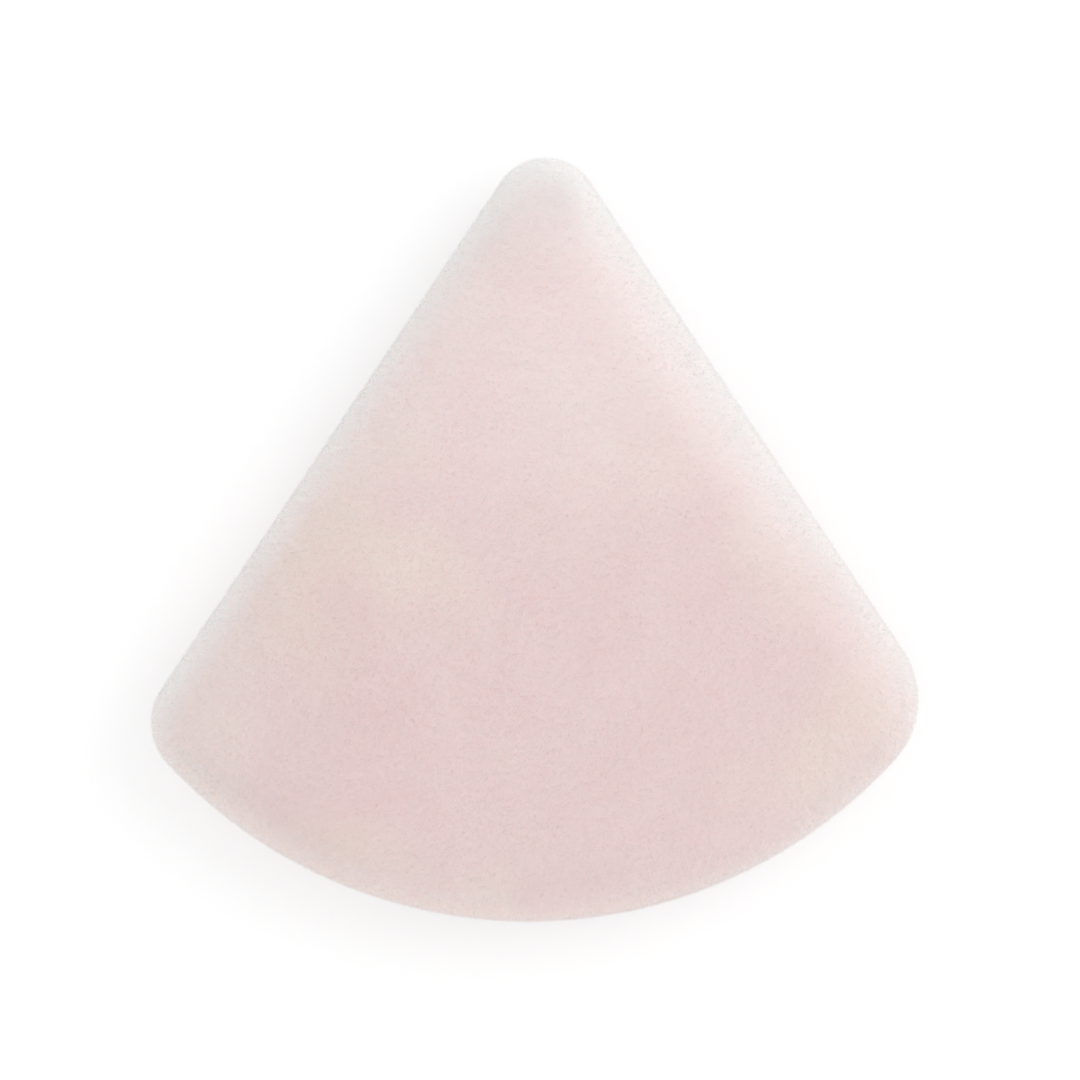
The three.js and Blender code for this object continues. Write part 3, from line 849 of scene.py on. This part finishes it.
def add_bake_map(pile):
    """A map seen from above. Each fibre's faces get some width in it,
    round the place where the fibre stands, and its hidden base goes to the map's corner."""
    margin, fibre_width, corner, corner_width = 1.1, 0.0009, 0.002, 0.001
    mesh = pile.data
    points = np.zeros(len(mesh.vertices) * 3)
    mesh.vertices.foreach_get("co", points)
    along = np.zeros(len(mesh.vertices))
    mesh.attributes["along"].data.foreach_get("value", along)
    points, along = points.reshape(-1, 4, 3), along.reshape(-1, 4)
    roots = (points[..., :2] * (1 - along[..., None])).sum(1) / 3
    width = margin * max(OUTER.max(0) - OUTER.min(0))
    flat = (roots - CAD_MIDDLE[:2]) / width + 0.5
    turns = np.arange(4) * 2 * math.pi / 3
    corners = fibre_width * np.stack([np.cos(turns), np.sin(turns)], 1)
    in_map = flat[:, None, :] + corners[None] * (1 - along[..., None])
    indices = np.zeros(len(mesh.loops), np.int64)
    mesh.loops.foreach_get("vertex_index", indices)
    on_loops = in_map.reshape(-1, 2)[indices]
    bases = np.repeat(along.reshape(-1)[indices].reshape(-1, 3).max(1) < 0.5, 3)
    on_loops[bases] = corner + corner_width * (on_loops[bases] - 0.5)
    layer = mesh.uv_layers.new(name="OFBake")
    layer.data.foreach_set("uv", on_loops.astype(np.float32).reshape(-1))


def seam_nip(points):
    """Less than 1 where the seam nips the pile and rolls it over the edge."""
    from_seam = np.abs(points[:, 2] - SEAM_Z)
    return 0.45 + 0.55 * smooth(from_seam, 0.5 * MM, 3 * MM)


def ribbon_press(points):
    """Less than 1 where the ribbon presses the back's pile flat."""
    beyond = np.abs(points[:, 1] - RIBBON_Y) - RIBBON_HALF_WIDTH
    return 0.2 + 0.8 * smooth(beyond, -0.2 * MM, 0.9 * MM)


def grow_pile(cover, name, tree, material, seed, rim_only, length, radius, lean):
    """One piece of pile on a cover, all over it or only round its widest line."""
    ground, points = cover.ground(name + "_ground")
    near_rim = smooth(edge_inset(points), 3.5 * MM, 1.5 * MM)
    growth = near_rim if rim_only else np.ones(len(points))
    upright = seam_nip(points) * (1 if cover.up else ribbon_press(points))
    carry(ground, "growth", growth)
    carry(ground, "upright", upright)
    carry_tones(ground, points)
    area = sum(face.area * growth[list(face.vertices)].mean() for face in ground.data.polygons)
    pile = grown(name, ground, tree, {
        "Density": FIBRES_IN_A_PIECE / area, "Length": length, "Radius": radius,
        "Lean": lean, "Seed": seed, "Material": material})
    add_bake_map(pile)
    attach(pile, "puff")


def make_pile(front, back):
    tree, material = pile_tree(), pile_finish("velour_pile")
    face = {"rim_only": False, "length": 0.42 * MM, "radius": 0.022 * MM}
    rim = {"rim_only": True, "length": 0.52 * MM, "radius": 0.010 * MM}
    for cover, name, seed, lean, kind in (
        (front, "front_pile", 3, 0.7, face), (front, "front_nap", 8, 0.9, face),
        (front, "front_rim_pile", 13, 0.8, rim), (back, "back_pile", 5, 0.7, face),
        (back, "back_rim_pile", 21, 0.8, rim),
    ):
        grow_pile(cover, name, tree, material, seed, lean=lean, **kind)


def make_foam(material):
    """The pad, with a groove round its edge for the turned-in allowances."""
    under = CLOTH_AND_PILE + CLEARANCE
    over_thread = THREAD_WIDTH + CLEARANCE
    groove_top, groove_floor = FRONT_ALLOWANCE_Z + over_thread, BACK_ALLOWANCE_Z - over_thread
    groove_inset = ALLOWANCE_INSET + CLEARANCE
    top, bottom = front_crown(under), back_crown(under)
    top = top[top[:, 1] > groove_top + CLEARANCE]
    bottom = bottom[bottom[:, 1] < groove_floor - CLEARANCE]
    section = np.vstack([
        top[::-1],
        [(top[0][0], groove_top), (groove_inset, groove_top)],
        [(groove_inset, groove_floor), (bottom[0][0], groove_floor)],
        bottom,
        flat_rings(BACK_FACE_Z + under),
    ])
    poles = [(*MIDDLE, FRONT_FACE_Z - under), (*MIDDLE, BACK_FACE_Z + under)]
    points = np.vstack([ring_points(section), poles])
    faces = ring_faces(len(section), len(points) - 2, len(points) - 1)
    pad = new_object("foam_pad", points, faces, [material])
    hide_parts("foam_core")
    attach(pad, "puff")


def plied_strand(centres, ply_offset, ply_radius, twists, sides):
    """Points and faces of two closed plies twisted round a path."""
    centres = np.asarray(centres)
    along = np.gradient(centres, axis=0)
    along /= np.linalg.norm(along, axis=1)[:, None]
    across = np.cross(along, (0, 0, 1.0))
    across /= np.linalg.norm(across, axis=1)[:, None]
    up = np.cross(across, along)
    round_ply = np.linspace(0, 2 * math.pi, sides, endpoint=False)
    points, faces, steps = [], [], len(centres)

    def around(turns):
        return across[:, None] * np.cos(turns)[..., None] + up[:, None] * np.sin(turns)[..., None]

    for ply in (0, 1):
        turns = 2 * math.pi * (twists * np.linspace(0, 1, steps) + ply / 2)
        middles = centres[:, None] + ply_offset * around(turns[:, None])
        points.append((middles + ply_radius * around(round_ply)).reshape(-1, 3))
        first, last = ply * steps * sides, (ply * steps + steps - 1) * sides
        for k in range(steps - 1):
            a, b = first + k * sides, first + (k + 1) * sides
            faces += [(a + s, a + (s + 1) % sides, b + (s + 1) % sides, b + s)
                      for s in range(sides)]
        faces.append(tuple(first + s for s in reversed(range(sides))))
        faces.append(tuple(last + s for s in range(sides)))
    return np.vstack(points), faces


def stitch_tree():
    """One stitch after another along a line, each turned the way the line runs."""
    garden = Garden("seam_stitches", {
        "Stitch": "Object", "Stitch length": "Float", "Material": "Material"})
    sizes = garden.inputs
    line = garden.node("GeometryNodeMeshToCurve", {"Mesh": sizes["Ground"]})
    line = garden.node("GeometryNodeResampleCurve", {
        "Curve": line, "Length": sizes["Stitch length"]}, mode="LENGTH")
    tangent = garden.node("GeometryNodeInputTangent", {})
    turn = garden.node("FunctionNodeAlignRotationToVector", {"Vector": tangent},
                       axis="X", pivot_axis="Z")
    stitch = garden.node("GeometryNodeObjectInfo", {"Object": sizes["Stitch"]}, "Geometry")
    stitches = garden.node("GeometryNodeInstanceOnPoints", {
        "Points": line, "Instance": stitch, "Rotation": turn})
    return garden.finished(stitches)


def seam_line(z):
    """The machine seam: round the outline except for the turning gap."""
    inset = outline(STITCH_INSET)
    off = inset - ARC_CENTRE
    turns = np.arctan2(off[:, 1], off[:, 0]) % (2 * math.pi)
    on_arc = np.abs(np.linalg.norm(off, axis=1) - (ARC_RADIUS - STITCH_INSET)) < 0.01 * MM
    gap_start, gap_end = gap_turns()
    in_gap = on_arc & (turns > gap_start) & (turns < gap_end)
    first = np.nonzero(in_gap)[0].max() + 1
    line = np.roll(inset, -first, axis=0)[:RING_POINTS - in_gap.sum()]
    return np.column_stack([line + TO_FRAME, np.full(len(line), z)])


def make_machine_seam(material):
    """A thread on each allowance. Its stitches arch, and each runs a little into the next."""
    shares, arch, overlap = np.linspace(-0.5, 0.5, 9), 0.12 * MM, 1.02
    tree = stitch_tree()
    for name, node, z, way in (
        ("needle_stitches", "needle_thread", FRONT_ALLOWANCE_Z, 1),
        ("bobbin_stitches", "bobbin_thread", BACK_ALLOWANCE_Z, -1),
    ):
        arched = way * arch * np.cos(math.pi * shares)
        centres = np.stack([shares * LOCKSTITCH_LENGTH * overlap, 0 * shares, arched], 1)
        stitch = new_object("one_stitch", *plied_strand(
            centres, ply_offset=0.09 * MM, ply_radius=0.1 * MM, twists=1.0, sides=5), [])
        line = seam_line(z + way * THREAD_WIDTH / 2)
        edges = [(i, i + 1) for i in range(len(line) - 1)]
        stitches = grown(name, new_object(name + "_line", line, [], [], edges), tree, {
            "Stitch": stitch, "Stitch length": LOCKSTITCH_LENGTH, "Material": material})
        bpy.data.objects.remove(stitch)
        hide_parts(node)
        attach(stitches, "puff")


def make_hand_stitches(material):
    """The slanting stitches that close the turning gap, from fold to fold."""
    steps_a_stitch, inset, below_seam, twists_a_stitch = 24, 0.62 * MM, 0.15 * MM, 4.0
    swing_along, swing_in, swing_up = 0.012, 0.26 * MM, 0.55 * MM
    gap_start, gap_end = gap_turns()
    shares = np.linspace(0, 1, steps_a_stitch * HAND_STITCHES + 1)
    swing = 2 * math.pi * HAND_STITCHES * shares
    turns = gap_start + (gap_end - gap_start) * (shares + swing_along * np.sin(swing))
    radius = ARC_RADIUS - inset + swing_in * np.cos(swing)
    round_edge = np.stack([np.cos(turns), np.sin(turns)], 1) * radius[:, None]
    heights = SEAM_Z - below_seam + swing_up * np.sin(swing)
    centres = np.column_stack([round_edge + ARC_CENTRE + TO_FRAME, heights])
    points, faces = plied_strand(centres, ply_offset=0.08 * MM, ply_radius=0.09 * MM,
                                 twists=twists_a_stitch * HAND_STITCHES, sides=6)
    stitches = new_object("closing_seam", points, faces, [material])
    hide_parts("closing_stitches")
    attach(stitches, "puff")


def side_x(side, below_tip, inset):
    """Where a line across the puff, `below_tip`, has this inset from a straight side."""
    half = below_tip * math.tan(HALF_TIP_ANGLE) - inset / math.cos(HALF_TIP_ANGLE)
    return TO_FRAME[0] + side * half


def ribbon_rows():
    """Rows of points across the ribbon, close together at its woven edges, with half its
    thickness at each row and how far each row belongs to an edge."""
    inner = np.linspace(-1, 1, 21) * (RIBBON_HALF_WIDTH - 1.2 * SELVEDGE_WIDTH)
    edge = RIBBON_HALF_WIDTH - SELVEDGE_WIDTH * np.array([1.0, 0.75, 0.4, 0.12, 0.0])
    rows = np.concatenate([-edge[::-1], inner, edge])
    from_edge = RIBBON_HALF_WIDTH - np.abs(rows)
    selvedge = smooth(from_edge, 1.1 * SELVEDGE_WIDTH, 0.7 * SELVEDGE_WIDTH)
    edge_round, thinnest = 0.2 * MM, 0.05
    rounded = np.sqrt(np.clip(from_edge / edge_round, thinnest, 1))
    thickness = RIBBON_THICKNESS + (SELVEDGE_THICKNESS - RIBBON_THICKNESS) * selvedge
    return rows, thickness * rounded / 2, selvedge


def ribbon_piece(name, middles, half_thickness, selvedge, material):
    """A closed thin sheet from a grid of middle points: steps along it, rows across it."""
    steps, rows = middles.shape[:2]
    normal = np.cross(np.gradient(middles, axis=0), np.gradient(middles, axis=1))
    normal /= np.linalg.norm(normal, axis=2)[..., None]
    out = normal * half_thickness[None, :, None]
    points = np.concatenate([(middles + out).reshape(-1, 3), (middles - out).reshape(-1, 3)])
    low, faces = steps * rows, []
    for k in range(steps - 1):
        a, b = k * rows, (k + 1) * rows
        for r in range(rows - 1):
            faces.append((a + r, b + r, b + r + 1, a + r + 1))
            faces.append((low + a + r, low + a + r + 1, low + b + r + 1, low + b + r))
        faces.append((a, low + a, low + b, b))
        a, b = a + rows - 1, b + rows - 1
        faces.append((a, b, low + b, low + a))
    last = (steps - 1) * rows
    for r in range(rows - 1):
        faces.append((r, r + 1, low + r + 1, low + r))
        faces.append((last + r, low + last + r, low + last + r + 1, last + r + 1))
    piece = new_object(name, points, faces, [material])
    piece.data.set_sharp_from_angle(angle=math.radians(60))
    carry(piece, "selvedge", np.tile(selvedge, 2 * steps))
    return piece


def ribbon_path(flat_z):
    """Insets and heights of the ribbon's middle from the flat back to the seam's mouth."""
    surface = back_curve(0)
    out = surface - back_curve(1.0)
    lifts_off, at_seam = math.pi / 2 - 0.9, 0.5 * MM
    flatness = smooth(QUARTER_TURN, lifts_off, math.pi / 2)
    off = at_seam +(BACK_FACE_Z - flat_z - at_seam) * flatness
    run = (surface + off[:, None] * out)[::-1]
    turns = np.linspace(0, math.pi / 2, 12)[1:]
    mouth = np.stack([
        SEAM_INSET - (SEAM_INSET - run[-1][0]) * np.cos(turns),
        BACK_WIDEST_Z + (SEAM_Z - BACK_WIDEST_Z) * np.sin(turns),
    ], 1)
    return evenly(np.vstack([run, mouth]), 44)


def make_ribbon_side(side, material):
    """Half of the strap: from the middle of the back, up over its edge and into the seam,
    and its end that is sewn in between the allowances."""
    name = "ribbon_left" if side < 0 else "ribbon_right"
    rows, half_thickness, selvedge = ribbon_rows()
    flat_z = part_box("strap_span")[0].z + SELVEDGE_THICKNESS / 2
    path = ribbon_path(flat_z)
    columns = []
    for row in rows:
        below = RIBBON_BELOW_TIP - row
        flat_x = np.linspace(TO_FRAME[0], side_x(side, below, path[0][0]), 22, endpoint=False)
        places = [(x, flat_z) for x in flat_x]
        places += [(side_x(side, below, inset), z) for inset, z in path]
        columns.append([(x, RIBBON_Y + row, z) for x, z in places])
    middles = np.array(columns).transpose(1, 0, 2)
    half = ribbon_piece(name + "_half", middles, half_thickness, selvedge, material)
    insets = np.linspace(SEAM_INSET, ALLOWANCE_INSET - CLEARANCE, 8)
    tail_middles = np.array([
        [(side_x(side, RIBBON_BELOW_TIP - row, inset), RIBBON_Y + row, SEAM_Z) for row in rows]
        for inset in insets])
    pressed = np.minimum(half_thickness, 0.15 * MM)
    tail = ribbon_piece(name + "_tail", tail_middles, pressed, selvedge, material)
    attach(tail, "puff")
    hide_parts("strap_span", "strap_left_run" if side < 0 else "strap_right_run")
    start = np.array([side_x(side, RIBBON_BELOW_TIP, FLAT_INSET), RIBBON_Y])
    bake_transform(half)


def studio_floor():
    """A white table: plain to the lamps, and white to the camera where it is lit."""
    grey, white, glow, glow_share = (0.9, 0.9, 0.9, 1), (1, 1, 1, 1), 1.05, 0.57
    reach, below = 2.0, -0.02 * MM
    finish = Finish("white_table")
    diffuse = finish.node("BsdfDiffuse", {"Color": grey})
    paper = finish.node("BsdfDiffuse", {"Color": white})
    seen_white = finish.either(glow_share, paper, finish.node("Emission", {"Strength": glow}))
    seen = finish.seen_by("Camera", "Glossy", "Transmission")
    table = finish.seen_as(finish.either(seen, diffuse, seen_white))
    corners = [(-reach, -reach, below), (reach, -reach, below),
               (reach, reach, below), (-reach, reach, below)]
    new_object("table_top", corners, [(0, 1, 2, 3)], [table])


def soft_lamp(place, width, level):
    """A square lamp aimed at the puff. Level is the brightness of a white card there."""
    data = bpy.data.lights.new("window", "AREA")
    data.shape, data.size = "SQUARE", width
    away = Vector(place).length
    data.energy = level * math.pi**2 * away**2 / (place[2] / away)
    lamp = placed("window", data)
    lamp.location = place
    lamp.rotation_euler = Vector(place).to_track_quat("Z", "Y").to_euler()


def world_light(level):
    """Even light from all round, which the camera sees as white."""
    finish = Finish("studio", "worlds")
    light, white = [finish.node("Background", {"Color": (1, 1, 1, 1), "Strength": strength})
                    for strength in (level, 1.0)]
    seen = finish.seen_by("Camera", "Transmission")
    bpy.context.scene.world = finish.seen_as(finish.either(seen, light, white), "World")


def overhead_camera(height):
    """The photograph's camera: straight above, the puff where the photograph has it."""
    metres_per_px = (CAD_BOX[1].x - CAD_BOX[0].x) / PUFF_WIDTH_PX
    data = bpy.data.cameras.new("camera")
    data.sensor_width = 36.0
    data.lens = data.sensor_width * (height - FRONT_WIDEST_Z) / (PHOTO_PX * metres_per_px)
    data.clip_start, data.clip_end = 0.01, 10
    camera = placed("camera", data)
    camera.location = (
        CAD_MIDDLE[0] + (PHOTO_PX / 2 - PUFF_MIDDLE_PX[0]) * metres_per_px,
        CAD_MIDDLE[1] - (PHOTO_PX / 2 - PUFF_MIDDLE_PX[1]) * metres_per_px,
        height,
    )
    bpy.context.scene.camera = camera


overhead_camera(height=0.75)
studio_floor()
world_light(level=0.87)
soft_lamp(place=(0.49, 0.26, 0.62), width=0.5, level=0.17)
bpy.context.scene.view_settings.view_transform = "Standard"

front, back = front_cover(), back_cover()
backing = knit_backing("knit_backing")
front.body([velour_ground("front_velour_ground"), backing])
back.body([velour_ground("back_velour_ground"), backing])
make_pile(front, back)
make_foam(open_foam("soft_foam"))
thread = spun_thread("sewing_thread")
make_machine_seam(thread)
make_hand_stitches(thread)
ribbon_satin = satin("ribbon_satin")
for side in (-1, 1):
    make_ribbon_side(side, ribbon_satin)
